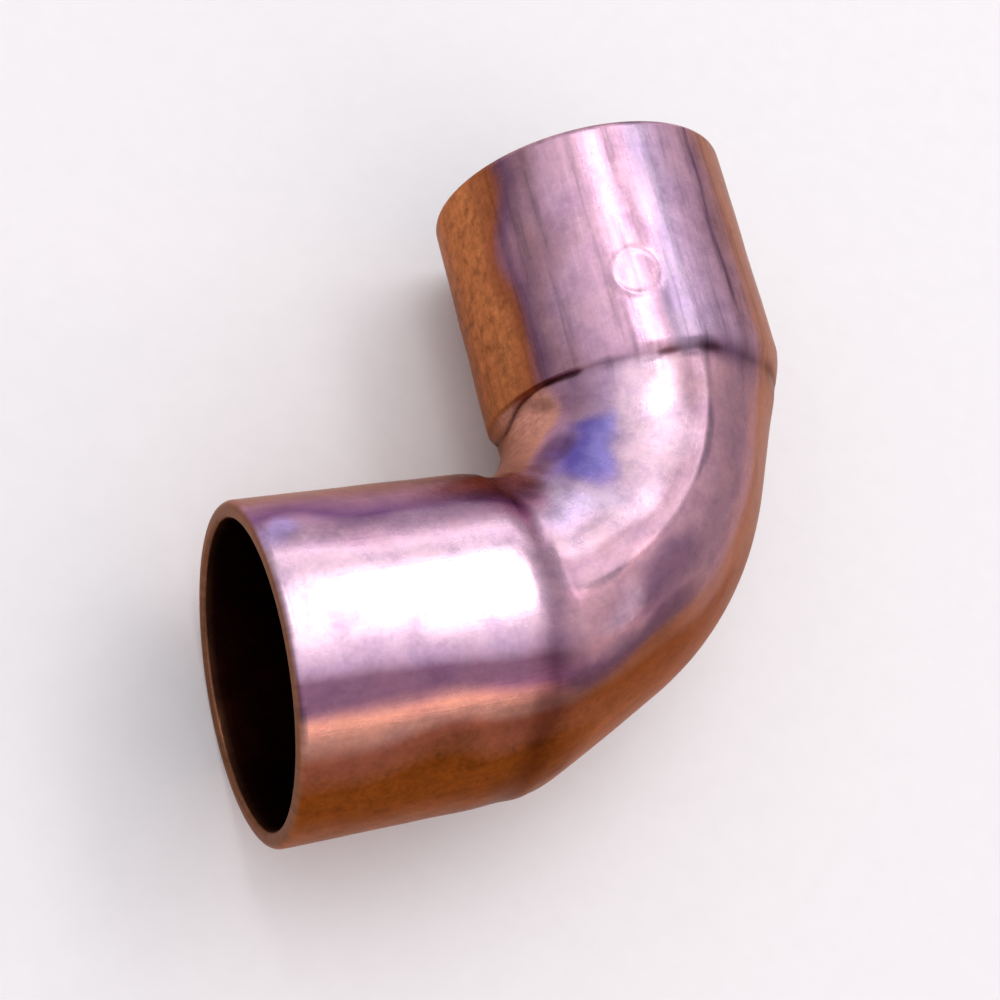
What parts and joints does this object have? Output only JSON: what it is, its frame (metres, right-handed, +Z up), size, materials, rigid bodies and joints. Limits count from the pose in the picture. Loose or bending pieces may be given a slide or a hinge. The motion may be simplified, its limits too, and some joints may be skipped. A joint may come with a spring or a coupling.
{
  "type": "pipe elbow",
  "caption": "Plain ninety-degree copper elbow with two equal solder sockets for round tube, joined by a short round bend.",
  "frame": {"origin": "centre of socket A's tube stop, where the end of a tube rests", "axes": "the elbow lies flat with +Z up; socket A opens towards -X and socket B towards +Y"},
  "size_m": [0.0492, 0.0492, 0.0249],
  "materials": {
    "socket_a": "satin wrought copper, faint draw lines along the socket, browner at the mouth and underneath",
    "elbow_bend": "satin wrought copper, with a small violet heat tint beside the throat",
    "socket_b": null
  },
  "bodies": {
    "root": {"socket_a": "socket_a", "elbow_bend": "elbow_bend", "socket_b": "socket_b"}
  },
  "joints": []
}
